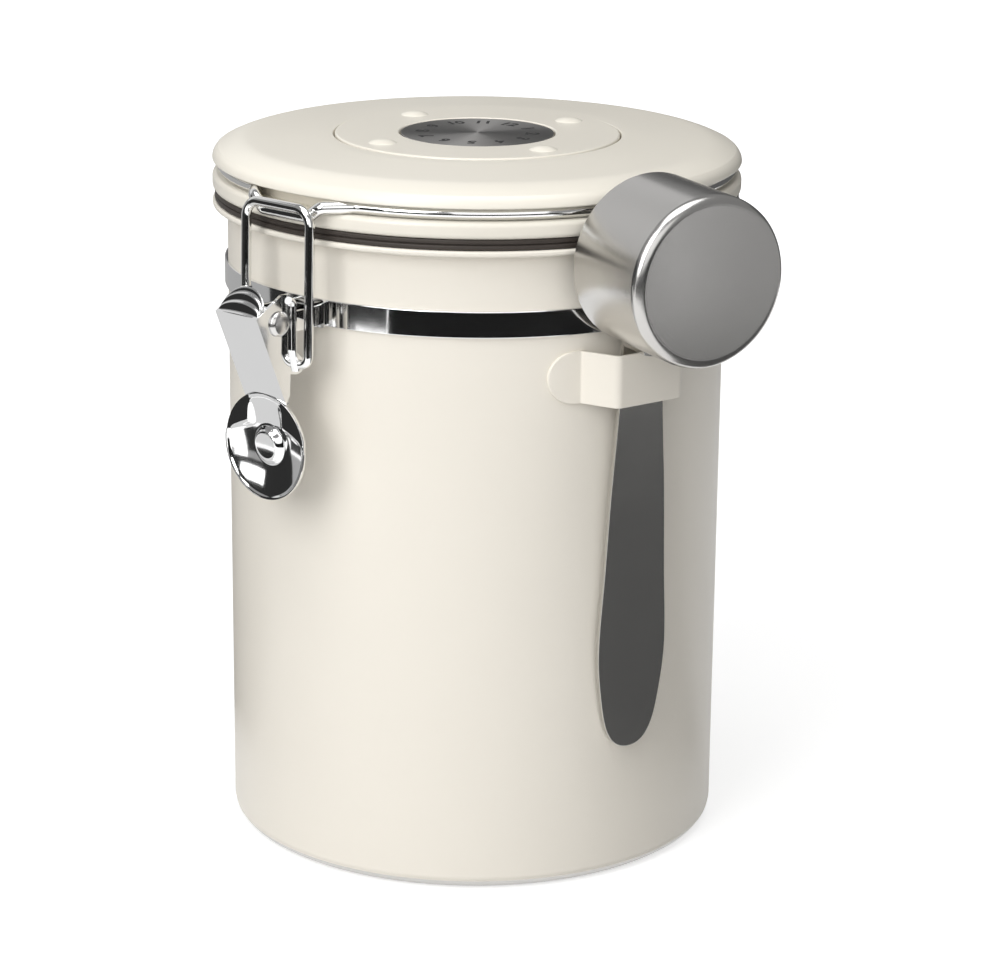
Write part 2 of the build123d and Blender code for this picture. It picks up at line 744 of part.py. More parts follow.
pieces = {
    "canister_body": canister_body,
    "neck_band": neck_band,
    "clasp_bracket": clasp_bracket,
    "clasp_rivet": clasp_rivet,
    "clasp_lever": clasp_lever,
    "clasp_bail": clasp_bail,
    "hinge_bracket": hinge_bracket,
    "scoop_holder": scoop_holder,
    "lid_gasket": lid_gasket,
    "lid_base": lid_base,
    "lid_cover": lid_cover,
    "lid_wire": lid_wire,
    "dial_ring": dial_ring,
    "dial_hub": dial_hub,
    "dial_screw": dial_screw,
    "month_disc": month_disc,
    "valve_body": valve_body,
    "valve_flap": valve_flap,
    "valve_cap": valve_cap,
    "valve_filter": valve_filter,
    "valve_grille": valve_grille,
    "valve_nut": valve_nut,
    "scoop_cup": scoop_cup,
    "scoop_handle": scoop_handle,
}

for node, make in pieces.items():
    shape = make()
    shape.label = node
    export_step(shape, "parts/" + node + ".step")
    print(node, "solids", len(shape.solids()), "volume", round(shape.volume, 1))
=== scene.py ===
import math

import bmesh
import bpy
from mathutils import Matrix, Vector


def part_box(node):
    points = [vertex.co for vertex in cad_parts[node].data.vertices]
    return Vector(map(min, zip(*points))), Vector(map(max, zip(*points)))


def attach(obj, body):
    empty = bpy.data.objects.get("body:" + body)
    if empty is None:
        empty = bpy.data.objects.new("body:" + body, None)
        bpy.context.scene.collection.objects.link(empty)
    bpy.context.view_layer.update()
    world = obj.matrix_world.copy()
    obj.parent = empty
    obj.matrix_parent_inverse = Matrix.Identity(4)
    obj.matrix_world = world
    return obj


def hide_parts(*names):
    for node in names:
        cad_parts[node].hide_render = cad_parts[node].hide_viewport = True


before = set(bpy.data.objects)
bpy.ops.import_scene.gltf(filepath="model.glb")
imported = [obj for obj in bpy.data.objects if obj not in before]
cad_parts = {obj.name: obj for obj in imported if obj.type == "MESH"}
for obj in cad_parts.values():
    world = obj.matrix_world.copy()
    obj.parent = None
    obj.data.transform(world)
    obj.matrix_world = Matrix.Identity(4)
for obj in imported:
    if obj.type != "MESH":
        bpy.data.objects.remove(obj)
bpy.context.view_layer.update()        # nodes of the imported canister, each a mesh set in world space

scene = bpy.context.scene

# levels and radii that the pieces share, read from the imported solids
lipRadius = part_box("canister_body")[1].x
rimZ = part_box("canister_body")[1].z
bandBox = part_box("neck_band")
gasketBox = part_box("lid_gasket")
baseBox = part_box("lid_base")
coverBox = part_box("lid_cover")
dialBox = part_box("dial_ring")
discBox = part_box("month_disc")


# camera and light, azimuths are counted from the camera, to the right
cameraSetup = {
    "turn": 41.5,                 # degrees from the clasp round to the camera
    "distance": 0.780247,
    "height": 0.314760,
    "yaw": 0.0080339,             # radians, as are the next two
    "pitch": 0.2878654,
    "roll": 0.0102798,
    "lens": 118.45,               # millimetres, as is the sensor
    "sensor": 36.0,
    "near": 0.01,                 # metres, as is the far end of what it sees
    "far": 20,
}


def makeCamera():
    data = bpy.data.cameras.new("camera")
    data.lens = cameraSetup["lens"]
    data.sensor_width = cameraSetup["sensor"]
    data.clip_start = cameraSetup["near"]
    data.clip_end = cameraSetup["far"]
    camera = bpy.data.objects.new("camera", data)
    scene.collection.objects.link(camera)
    around = Matrix.Rotation(math.radians(cameraSetup["turn"]), 4, "Z")
    place = Matrix.Translation((0, -cameraSetup["distance"], cameraSetup["height"]))
    aim = Matrix.Rotation(-cameraSetup["yaw"], 4, "Z")
    tilt = Matrix.Rotation(math.pi / 2 - cameraSetup["pitch"], 4, "X")
    camera.matrix_world = around @ place @ aim @ tilt @ Matrix.Rotation(cameraSetup["roll"], 4, "Z")
    scene.camera = camera


def aroundObject(azimuth, elevation, distance, centre):
    # a point seen from the centre at an azimuth from the camera and an elevation, both in degrees
    turn = math.radians(azimuth + cameraSetup["turn"])
    rise = math.radians(elevation)
    flat = distance * math.cos(rise)
    return centre + Vector((flat * math.sin(turn), -flat * math.cos(turn), distance * math.sin(rise)))


lights = {
    "centre": Vector((0, 0, 0.09)),
    # name, azimuth, elevation, distance, width, height, level that it gives a surface facing it,
    # and whether the gloss sees it
    "lamps": [
        ("keyLamp", -36, 30, 1.25, 0.70, 1.05, 0.65, True),
        ("overLamp", 0, 80, 1.25, 1.00, 1.00, 0.61, True),
        ("frontLamp", 10, 20, 1.25, 0.90, 0.90, 0.17, True),
        ("backLamp", -178, 18, 1.40, 0.80, 0.80, 0.14, False),
    ],
    "worldLevel": 0.15,           # of the dome, for everything but the camera and mirrors
    "backdropLevel": 1.0,         # of the dome, for the camera and mirrors
}


def makeLights():
    for name, azimuth, elevation, distance, width, height, level, inGloss in lights["lamps"]:
        data = bpy.data.lights.new(name, "AREA")
        data.shape = "RECTANGLE"
        data.size = width
        data.size_y = height
        data.energy = level * math.pi ** 2 * distance ** 2
        lamp = bpy.data.objects.new(name, data)
        lamp.visible_glossy = inGloss
        scene.collection.objects.link(lamp)
        place = aroundObject(azimuth, elevation, distance, lights["centre"])
        lamp.matrix_world = Matrix.Translation(place) @ (
            (lights["centre"] - place).to_track_quat("-Z", "Y").to_matrix().to_4x4())
    world = bpy.data.worlds.new("studio")
    scene.world = world
    world.use_nodes = True
    tree = world.node_tree
    back = tree.nodes["Background"]
    back.inputs["Color"].default_value = (1, 1, 1, 1)
    seen = seenDirectly(tree)
    mix = tree.nodes.new("ShaderNodeMapRange")
    mix.inputs["To Min"].default_value = lights["worldLevel"]
    mix.inputs["To Max"].default_value = lights["backdropLevel"]
    tree.links.new(seen, mix.inputs["Value"])
    tree.links.new(mix.outputs["Result"], back.inputs["Strength"])


def seenDirectly(tree):
    # 1 for camera, mirror and glass rays, and 0 for the rest
    path = tree.nodes.new("ShaderNodeLightPath")
    first = tree.nodes.new("ShaderNodeMath")
    first.operation = "MAXIMUM"
    second = tree.nodes.new("ShaderNodeMath")
    second.operation = "MAXIMUM"
    tree.links.new(path.outputs["Is Camera Ray"], first.inputs[0])
    tree.links.new(path.outputs["Is Glossy Ray"], first.inputs[1])
    tree.links.new(first.outputs[0], second.inputs[0])
    tree.links.new(path.outputs["Is Transmission Ray"], second.inputs[1])
    return second.outputs[0]


floor = {
    "half": 3.0, "below": 0.0002,                # half the side, and the gap under the canister's bottom
    "level": 0.60,                               # shade of its matte part
    "near": 0.18, "glow": 0.61,                  # up to this distance, this glow, seen by camera and mirrors
    "far": 0.75, "farGlow": 0.94,                # the same from further out
}

# cards that only the gloss sees: name, azimuth from, azimuth to, low, high, distance, shade
cardSteps = 24
cards = [
    ("cardFront", -37, 53, 0.000, 0.160, 0.46, 0.012),
    ("cardRight", 55, 110, 0.036, 0.220, 0.36, 0.44),
    ("cardLeft", -95, -61, 0.000, 0.250, 0.30, 0.030),
    ("cardOverGap", -61, -36, 0.074, 0.250, 0.30, 0.030),
    ("cardFarLeft", -180, -95, 0.000, 0.200, 0.40, 0.42),
    ("cardBack", 110, 192, 0.000, 0.360, 0.50, 0.11),
    ("cardHighLeft", -180, -105, 0.340, 1.000, 0.80, 0.76),
    ("greyStrip", -70, -61, 0.060, 0.075, 0.295, 0.36),
    ("thinStrip", -54, -50, 0.060, 0.075, 0.295, 0.42),
    ("windowCard", -69, -56, 0.092, 0.110, 0.22, 2.0),
]

# sectors just over the floor, as the cards: name, azimuth from, azimuth to, inner radius, outer radius, shade
floorCardLift = 0.0002
floorCards = [
    ("floorCardRight", 40, 104, 0.100, 0.500, 0.11),
    ("floorCardLeft", -98, -60, 0.100, 0.280, 0.74),
    ("floorCardFarLeft", -180, -98, 0.100, 0.370, 0.06),
]

# the grey room round the object, which only the gloss sees
room = {"radius": 1.9, "shade": 0.30, "segments": 48, "rings": 24}


def makeStage():
    material = bpy.data.materials.new("paleFloor")
    material.use_nodes = True
    tree = material.node_tree
    tree.nodes.remove(tree.nodes["Principled BSDF"])
    matte = tree.nodes.new("ShaderNodeBsdfDiffuse")
    matte.inputs["Color"].default_value = (floor["level"],) * 3 + (1,)
    glow = tree.nodes.new("ShaderNodeEmission")
    reach = tree.nodes.new("ShaderNodeVectorMath")
    reach.operation = "LENGTH"
    fade = tree.nodes.new("ShaderNodeMapRange")
    ends = {"From Min": "near", "From Max": "far", "To Min": "glow", "To Max": "farGlow"}
    for socket, value in ends.items():
        fade.inputs[socket].default_value = floor[value]
    tree.links.new(tree.nodes.new("ShaderNodeTexCoord").outputs["Object"], reach.inputs[0])
    tree.links.new(reach.outputs["Value"], fade.inputs["Value"])
    strength = mathNode(tree, "MULTIPLY", seenDirectly(tree), fade.outputs["Result"])
    both = tree.nodes.new("ShaderNodeAddShader")
    tree.links.new(strength, glow.inputs["Strength"])
    tree.links.new(matte.outputs[0], both.inputs[0])
    tree.links.new(glow.outputs[0], both.inputs[1])
    tree.links.new(both.outputs[0], tree.nodes["Material Output"].inputs["Surface"])
    bm = bmesh.new()
    bmesh.ops.create_grid(bm, x_segments=1, y_segments=1, size=floor["half"])
    ground = stageObject("floor", bm, material)
    ground.location.z = -floor["below"]
    for name, start, end, low, high, distance, shade in cards:
        foot = aroundObject(start, 0, distance, Vector((0, 0, low)))
        head = aroundObject(start, 0, distance, Vector((0, 0, high)))
        sweptCard(name, foot, head, end - start, shade)
    for name, start, end, inner, outer, shade in floorCards:
        lift = Vector((0, 0, floorCardLift))
        near, far = (aroundObject(start, 0, radius, lift) for radius in (inner, outer))
        sweptCard(name, near, far, end - start, shade)
    bm = bmesh.new()
    bmesh.ops.create_uvsphere(bm, u_segments=room["segments"], v_segments=room["rings"],
                              radius=room["radius"])
    onlyInGloss(stageObject("greyRoom", bm, cardMaterial("greyRoom", room["shade"])))


def sweptCard(name, first, second, sweep, shade):
    # a line swept round the object's axis, to the right as the camera sees it
    bm = bmesh.new()
    edge = bm.edges.new((bm.verts.new(first), bm.verts.new(second)))
    bmesh.ops.spin(bm, geom=[*edge.verts, edge], cent=(0, 0, 0), axis=(0, 0, 1), dvec=(0, 0, 0),
                   angle=math.radians(sweep), steps=cardSteps, use_merge=False, use_duplicate=False)
    onlyInGloss(stageObject(name, bm, cardMaterial(name, shade)))


def onlyInGloss(card):
    card.visible_camera = False
    card.visible_diffuse = False
    card.visible_shadow = False
    card.visible_transmission = False


def cardMaterial(name, shade):
    material = bpy.data.materials.new(name)
    material.use_nodes = True
    tree = material.node_tree
    tree.nodes.remove(tree.nodes["Principled BSDF"])
    glow = tree.nodes.new("ShaderNodeEmission")
    glow.inputs["Color"].default_value = (1, 1, 1, 1)
    glow.inputs["Strength"].default_value = shade
    tree.links.new(glow.outputs[0], tree.nodes["Material Output"].inputs["Surface"])
    return material


def stageObject(name, bm, material):
    mesh = bpy.data.meshes.new(name)
    bm.to_mesh(mesh)
    bm.free()
    mesh.materials.append(material)
    thing = bpy.data.objects.new(name, mesh)
    scene.collection.objects.link(thing)
    return thing


# shader groups that several finishes share
def newGroup(name, inputs, outputs):
    # inputs and outputs give each socket's name and kind, the values come from the materials
    group = bpy.data.node_groups.new(name, "ShaderNodeTree")
    for way, sockets in (("INPUT", inputs), ("OUTPUT", outputs)):
        for label, kind in sockets.items():
            group.interface.new_socket(label, in_out=way, socket_type="NodeSocket" + kind)
    return group, group.nodes.new("NodeGroupInput"), group.nodes.new("NodeGroupOutput")


def mathNode(tree, operation, first, second):
    # each operand is a number, a socket or, where the operation takes one only, None
    node = tree.nodes.new("ShaderNodeMath")
    node.operation = operation
    for slot, value in enumerate((first, second)):
        if isinstance(value, (int, float)):
            node.inputs[slot].default_value = value
        elif value is not None:
            tree.links.new(value, node.inputs[slot])
    return node.outputs[0]


def noiseNode(tree, vector, scale, detail):
    node = tree.nodes.new("ShaderNodeTexNoise")
    node.inputs["Detail"].default_value = detail
    tree.links.new(vector, node.inputs["Vector"])
    tree.links.new(scale, node.inputs["Scale"])
    return node.outputs["Fac"]


def handledGroup():
    # soft patches of a surface that hands have touched: a varied roughness and a slight change of tone
    group, start, end = newGroup("handled", {
        "Vector": "Vector", "Scale": "Float", "Roughness": "Float", "Spread": "Float",
        "Color": "Color", "Tone Spread": "Float",
    }, {"Roughness": "Float", "Color": "Color"})
    patches = noiseNode(group, start.outputs["Vector"], start.outputs["Scale"], detail=3.0)
    centred = mathNode(group, "SUBTRACT", patches, 0.5)
    spread = mathNode(group, "MULTIPLY", centred, start.outputs["Spread"])
    group.links.new(mathNode(group, "ADD", spread, start.outputs["Roughness"]), end.inputs["Roughness"])
    tone = mathNode(group, "ADD", mathNode(group, "MULTIPLY", centred, start.outputs["Tone Spread"]), 1.0)
    scaled = group.nodes.new("ShaderNodeVectorMath")
    scaled.operation = "SCALE"
    group.links.new(start.outputs["Color"], scaled.inputs[0])
    group.links.new(tone, scaled.inputs["Scale"])
    group.links.new(scaled.outputs[0], end.inputs["Color"])
    return group


def skinGroup():
    # the fine unevenness of paint, plating or moulded plastic
    group, start, end = newGroup("skin", {
        "Vector": "Vector", "Wave Scale": "Float", "Grain Scale": "Float", "Grain Share": "Float",
    }, {"Height": "Float"})
    waves = noiseNode(group, start.outputs["Vector"], start.outputs["Wave Scale"], detail=2.0)
    grain = noiseNode(group, start.outputs["Vector"], start.outputs["Grain Scale"], detail=1.0)
    fine = mathNode(group, "MULTIPLY", grain, start.outputs["Grain Share"])
    group.links.new(mathNode(group, "ADD", waves, fine), end.inputs["Height"])
    return group


def turnedGroup():
    # rings that a tool leaves on turned or spun metal, about the pattern's own Z axis
    group, start, end = newGroup("turnedRings", {
        "Vector": "Vector", "Ring Scale": "Float", "Along Scale": "Float",
    }, {"Height": "Float"})
    parts = group.nodes.new("ShaderNodeSeparateXYZ")
    group.links.new(start.outputs["Vector"], parts.inputs[0])
    squares = mathNode(group, "ADD", mathNode(group, "MULTIPLY", parts.outputs["X"], parts.outputs["X"]),
                       mathNode(group, "MULTIPLY", parts.outputs["Y"], parts.outputs["Y"]))
    radius = mathNode(group, "MULTIPLY", mathNode(group, "SQRT", squares, None), start.outputs["Ring Scale"])
    along = mathNode(group, "MULTIPLY", parts.outputs["Z"], start.outputs["Along Scale"])
    noise = group.nodes.new("ShaderNodeTexNoise")
    noise.noise_dimensions = "1D"
    noise.inputs["Scale"].default_value = 1.0
    noise.inputs["Detail"].default_value = 4.0
    group.links.new(mathNode(group, "ADD", radius, along), noise.inputs["W"])
    group.links.new(noise.outputs["Fac"], end.inputs["Height"])
    return group


handled = handledGroup()
skin = skinGroup()
turnedRings = turnedGroup()
print("stage: shader groups made")


# what the finishes of one kind share: values of the shader, of the handling and of the skin's relief
kinds = {
    "paint": {
        "shader": {"IOR": 1.47, "Coat Weight": 0.15, "Coat Roughness": 0.25},
        "handled": {"Scale": 35.0, "Spread": 0.08, "Tone Spread": 0.02},
        "skin": {"Wave Scale": 350.0, "Grain Scale": 3500.0, "Grain Share": 0.35},
    },
    "plastic": {
        "shader": {"IOR": 1.49},
        "handled": {"Scale": 30.0, "Spread": 0.06, "Tone Spread": 0.02},
        "skin": {"Wave Scale": 220.0, "Grain Scale": 5000.0, "Grain Share": 0.25},
    },
    "metal": {
        "shader": {"Metallic": 1.0},
        "handled": {"Scale": 90.0, "Spread": 0.05, "Tone Spread": 0.04},
        "skin": {"Wave Scale": 110.0, "Grain Scale": 1500.0, "Grain Share": 0.03},
    },
    "turned": {
        "shader": {"Metallic": 1.0},
        "handled": {"Scale": 60.0, "Spread": 0.08, "Tone Spread": 0.08},
    },
    "rubber": {
        "shader": {"IOR": 1.42},
        "handled": {"Scale": 120.0, "Spread": 0.15, "Tone Spread": 0.3},
        "skin": {"Wave Scale": 500.0, "Grain Scale": 4000.0, "Grain Share": 0.5},
    },
    "plain": {
        "shader": {"IOR": 1.48},
        "handled": {"Scale": 150.0, "Spread": 0.10, "Tone Spread": 0.08},
        "skin": {"Wave Scale": 900.0, "Grain Scale": 5000.0, "Grain Share": 0.5},
    },
}

# name of the material, its kind, colour, roughness and the depth of its relief in metres
finishes = {
    "paintedCream": ("paint", (0.840, 0.795, 0.710, 1), 0.42, 0.00003),
    "mouldedCream": ("plastic", (0.820, 0.780, 0.690, 1), 0.30, 0.00002),
    "chromePlate": ("metal", (0.86, 0.86, 0.86, 1), 0.07, 0.00002),
    "brightWire": ("metal", (0.82, 0.82, 0.81, 1), 0.09, 0.00001),
    "rivetSteel": ("metal", (0.66, 0.65, 0.64, 1), 0.24, 0.00002),
    "handleSteel": ("metal", (0.60, 0.59, 0.57, 1), 0.20, 0.00002),
    "insideSteel": ("turned", (0.56, 0.55, 0.53, 1), 0.33, 0.00001),
    "spunSteel": ("turned", (0.42, 0.41, 0.40, 1), 0.30, 0.00001),
    "drawnSteel": ("turned", (0.56, 0.55, 0.535, 1), 0.24, 0.00001),
    "darkSilicone": ("rubber", (0.045, 0.036, 0.030, 1), 0.50, 0.00004),
    "valvePlastic": ("plain", (0.72, 0.70, 0.64, 1), 0.45, 0.00005),
    "filterFelt": ("plain", (0.72, 0.70, 0.66, 1), 0.90, 0.00005),
    "blackInk": ("plain", (0.015, 0.015, 0.015, 1), 0.50, 0.00005),
}

# how close the rings of the turned finishes lie, outwards and along the axis
ringScales = {
    "insideSteel": {"Ring Scale": 0.0, "Along Scale": 2200.0},
    "spunSteel": {"Ring Scale": 9000.0, "Along Scale": 0.0},
    "drawnSteel": {"Ring Scale": 2600.0, "Along Scale": 3200.0},
}


def useGroup(tree, group, place, values):
    node = tree.nodes.new("ShaderNodeGroup")
    node.node_tree = group
    tree.links.new(place, node.inputs["Vector"])
    for socket, value in values.items():
        node.inputs[socket].default_value = value
    return node


def newFinish(name, centring=None):
    # centring brings the pattern's Z axis onto the axis that a piece was turned about
    kind, color, roughness, depth = finishes[name]
    values = kinds[kind]
    material = bpy.data.materials.new(name)
    material.use_nodes = True
    tree = material.node_tree
    shader = tree.nodes["Principled BSDF"]
    for socket, value in values["shader"].items():
        shader.inputs[socket].default_value = value
    place = tree.nodes.new("ShaderNodeTexCoord").outputs["Object"]
    if centring is not None:
        mapping = tree.nodes.new("ShaderNodeMapping")
        mapping.inputs["Location"].default_value = centring.to_translation()
        mapping.inputs["Rotation"].default_value = centring.to_euler()
        tree.links.new(place, mapping.inputs["Vector"])
        place = mapping.outputs["Vector"]
    touched = useGroup(tree, handled, place, {"Color": color, "Roughness": roughness, **values["handled"]})
    tree.links.new(touched.outputs["Roughness"], shader.inputs["Roughness"])
    tree.links.new(touched.outputs["Color"], shader.inputs["Base Color"])
    if name in ringScales:
        relief = useGroup(tree, turnedRings, place, ringScales[name])
    else:
        relief = useGroup(tree, skin, place, values["skin"])
    bump = tree.nodes.new("ShaderNodeBump")
    bump.inputs["Distance"].default_value = depth
    tree.links.new(relief.outputs["Height"], bump.inputs["Height"])
    tree.links.new(bump.outputs["Normal"], shader.inputs["Normal"])
    return material


# placing helpers
edging = {
    "sharpAngle": 32,                            # degrees from which an edge is shaded sharp
    "sheetEdge": 0.00018, "sheetAngle": 50,      # the broken edges of a thickened sheet
    "flatAngle": 0.3, "breakAngle": 40,          # in a copied solid: what is flat, and what is an edge
}


def placePiece(name, bm, materials, body, slot, *nodes, sharpAngle=edging["sharpAngle"], sheet=0):
    mesh = bpy.data.meshes.new(name)
    bm.to_mesh(mesh)
    bm.free()
    for material in materials:
        mesh.materials.append(material)
    mesh.shade_smooth()
    mesh.set_sharp_from_angle(angle=math.radians(sharpAngle))
    piece = bpy.data.objects.new(name, mesh)
    scene.collection.objects.link(piece)
    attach(piece, body)
    if nodes:
        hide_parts(*nodes)
    if sheet:
        thicken(piece, sheet)
    evenFlats(piece)


def evenFlats(piece):
    # keeps a flat's shading flat where it meets a rounded edge
    weighted = piece.modifiers.new("evenFlats", "WEIGHTED_NORMAL")
    weighted.keep_sharp = True
    weighted.weight = 50


def thicken(piece, thickness):
    solid = piece.modifiers.new("sheet", "SOLIDIFY")
    solid.thickness = thickness
    solid.offset = -1
    solid.use_even_offset = True
    edge = piece.modifiers.new("brokenEdges", "BEVEL")
    edge.width = edging["sheetEdge"]
    edge.segments = 2
    edge.limit_method = "ANGLE"
    edge.angle_limit = math.radians(edging["sheetAngle"])


def roundEdges(bm, edges, size, segments=4, clamped=True):
    bmesh.ops.bevel(bm, geom=edges, offset=size, offset_type="OFFSET", segments=segments, profile=0.5,
                    affect="EDGES", material=-1, clamp_overlap=clamped)


def edgesOver(bm, angle):
    return [edge for edge in bm.edges
            if len(edge.link_faces) == 2 and edge.calc_face_angle(0) > math.radians(angle)]


def faceTowards(bm, faces, direction):
    # turns all faces round if the given ones look away from the direction
    bmesh.ops.recalc_face_normals(bm, faces=bm.faces)
    if sum(face.normal.dot(direction) for face in faces) < 0:
        bmesh.ops.reverse_faces(bm, faces=bm.faces)


def ringEdges(bm, radius, height, near=1e-6):
    return [edge for edge in bm.edges
            if all(abs(math.hypot(v.co.x, v.co.y) - radius) < near and abs(v.co.z - height) < near
                   for v in edge.verts)]


def lathe(profile, closed=True, steps=192, merge=1e-7):
    # profile points are radius, height and how far the edge there is rounded
    bm = bmesh.new()
    row = [bm.verts.new((radius, 0, height)) for radius, height, rounding in profile]
    following = row[1:] + row[:1] if closed else row[1:]
    edges = [bm.edges.new(pair) for pair in zip(row, following)]
    bmesh.ops.spin(bm, geom=row + edges, cent=(0, 0, 0), axis=(0, 0, 1), dvec=(0, 0, 0),
                   angle=2 * math.pi, steps=steps, use_merge=True, use_duplicate=False)
    bmesh.ops.remove_doubles(bm, verts=bm.verts, dist=merge)
    bmesh.ops.recalc_face_normals(bm, faces=bm.faces)
    for radius, height, rounding in profile:
        if rounding:
            roundEdges(bm, ringEdges(bm, radius, height), rounding)
    return bm


def solidCopy(name, node, edgeRound, merge, material, body, slot):
    # a bent sheet as its solid is, merged, with its sharp edges broken
    bm = bmesh.new()
    bm.from_mesh(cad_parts[node].data)
    bmesh.ops.remove_doubles(bm, verts=bm.verts, dist=merge)
    flat = math.radians(edging["flatAngle"])
    bmesh.ops.dissolve_limit(bm, angle_limit=flat, verts=bm.verts, edges=bm.edges)
    roundEdges(bm, edgesOver(bm, edging["breakAngle"]), edgeRound, segments=2, clamped=False)
    placePiece(name, bm, [material], body, slot, node)


def bentPath(points, radii, step=math.radians(7), straight=1e-4):
    # a row of points with an arc of the given radius at each inner point
    path = [points[0]]
    for before, corner, after, radius in zip(points, points[1:], points[2:], radii):
        first = (before - corner).normalized()
        second = (after - corner).normalized()
        turn = math.pi - first.angle(second)
        if turn < straight:
            continue
        back = radius * math.tan(turn / 2)
        middle = corner + (first + second).normalized() * (radius / math.cos(turn / 2))
        start = corner + first * back
        axis = first.cross(second).normalized()
        count = max(3, round(turn / step))
        for i in range(count + 1):
            path.append(middle + Matrix.Rotation(-turn * i / count, 3, axis) @ (start - middle))
    path.append(points[-1])
    return path


def wirePiece(name, path, radius, closed, material, body, slot, *nodes):
    data = bpy.data.curves.new(name, "CURVE")
    data.dimensions = "3D"
    data.bevel_depth = radius
    data.bevel_resolution = 6
    data.use_fill_caps = True
    spline = data.splines.new("POLY")
    spline.points.add(len(path) - 1)
    for point, place in zip(spline.points, path):
        point.co = (*place, 1)
    spline.use_cyclic_u = closed
    spline.use_smooth = True
    data.materials.append(material)
    piece = bpy.data.objects.new(name, data)
    scene.collection.objects.link(piece)
    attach(piece, body)
    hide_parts(*nodes)


makeCamera()
makeLights()
makeStage()
print("stage: camera, lights and floor made")


# canister
shell = {
    "radius": 0.060, "wall": 0.0008, "bottomRound": 0.0035, "lipHeight": 0.0014,
    "lipRound": 0.00055, "neckRound": 0.0009,
}


def canisterBody():
    radius, wall = shell["radius"], shell["wall"]
    inner = radius - wall
    under = rimZ - shell["lipHeight"]
    bm = lathe([
        (0, 0, 0), (radius, 0, shell["bottomRound"]), (radius, under, shell["neckRound"]),
        (lipRadius, under, shell["lipRound"]), (lipRadius, rimZ, shell["lipRound"]),
        (inner, rimZ, shell["neckRound"]), (inner, wall, shell["bottomRound"] - wall), (0, wall, 0),
    ], closed=False)
    for face in bm.faces:
        centre = face.calc_center_median()
        outside = math.hypot(centre.x, centre.y) > inner + wall / 4 or centre.z < wall / 4
        face.material_index = 0 if outside or centre.z > rimZ - shell["neckRound"] / 2 else 1
    materials = [creamPaint, newFinish("insideSteel")]
    placePiece("canisterBody", bm, materials, "canister", "body_enamel", "canister_body")


band = {"edge": 0.00025, "gap": 0.00002}


def neckBand():
    low, high = bandBox[0].z, bandBox[1].z
    outer, inner = bandBox[1].x, shell["radius"] + band["gap"]
    edge = band["edge"]
    bm = lathe([(inner, low, 0), (outer, low, edge), (outer, high, edge), (inner, high, 0)])
    placePiece("neckBand", bm, [chrome], "canister", "plated_steel", "neck_band")


# lid
seal = {
    "inner": 0.0571, "edge": 0.00045, "waist": 0.00050, "waistLow": 0.40, "waistHigh": 0.62,
    "waistRound": 0.0002, "waistInside": 0.0001,
}


def lidGasket():
    low, high = gasketBox[0].z, gasketBox[1].z
    outer = gasketBox[1].x
    rise = high - low
    waist = outer - seal["waist"]
    first, second = low + rise * seal["waistLow"], low + rise * seal["waistHigh"]
    bm = lathe([
        (seal["inner"], low, 0), (outer, low, seal["edge"]), (outer, first, seal["waistRound"]),
        (waist, (first + second) / 2, seal["waistInside"]), (outer, second, seal["waistRound"]),
        (outer, high, seal["edge"]), (seal["inner"], high, 0),
    ])
    placePiece("lidGasket", bm, [silicone], "lid", "gasket_silicone", "lid_gasket")


base = {
    "valveHole": 0.01195, "plug": 0.0570, "flangeBottom": 0.1580, "flangeTop": 0.16195,
    "groove": 0.0593, "collar": 0.0556, "edge": 0.00115, "plugRound": 0.0004, "fineRound": 0.0002,
}


def lidBase():
    low, high = baseBox[0].z, baseBox[1].z
    outer = baseBox[1].x
    flangeLow, flangeHigh = base["flangeBottom"], base["flangeTop"]
    bm = lathe([
        (base["valveHole"], low, base["fineRound"]), (base["plug"], low, base["plugRound"]),
        (base["plug"], flangeLow, 0), (outer, flangeLow, base["edge"]), (outer, flangeHigh, base["edge"]),
        (base["groove"], flangeHigh, base["fineRound"]), (base["groove"], high, 0),
        (base["collar"], high, 0), (base["collar"], flangeLow, 0), (base["valveHole"], flangeLow, 0),
    ])
    placePiece("lidBase", bm, [creamPlastic], "lid", "lid_plastic", "lid_base")


cover = {
    "recess": 0.03455, "recessRound": 0.00035, "floorDrop": 0.0028, "screwHole": 0.00155,
    "flat": 0.0375, "shoulder": 0.0563, "shoulderDrop": 0.0009, "edgeDrop": 0.0036,
    "slopeShare": 0.45, "roundPower": 2.2, "edgeRound": 0.0022, "lowRound": 0.0005, "domeRings": 18,
    "wireGap": 0.0030, "wall": 0.0014, "skirt": 0.0541, "skirtDepth": 0.0030,
}


def crown(radius, top):
    # level of the lid's top: a slight, even fall to the shoulder, then a rounded one to the edge
    first = min(1.0, max(0.0, radius - cover["flat"]) / (cover["shoulder"] - cover["flat"]))
    second = max(0.0, radius - cover["shoulder"]) / (lipRadius - cover["shoulder"])
    slope = cover["slopeShare"]
    rounded = slope * second + (1 - slope) * second ** cover["roundPower"]
    return top - cover["shoulderDrop"] * first - (cover["edgeDrop"] - cover["shoulderDrop"]) * rounded


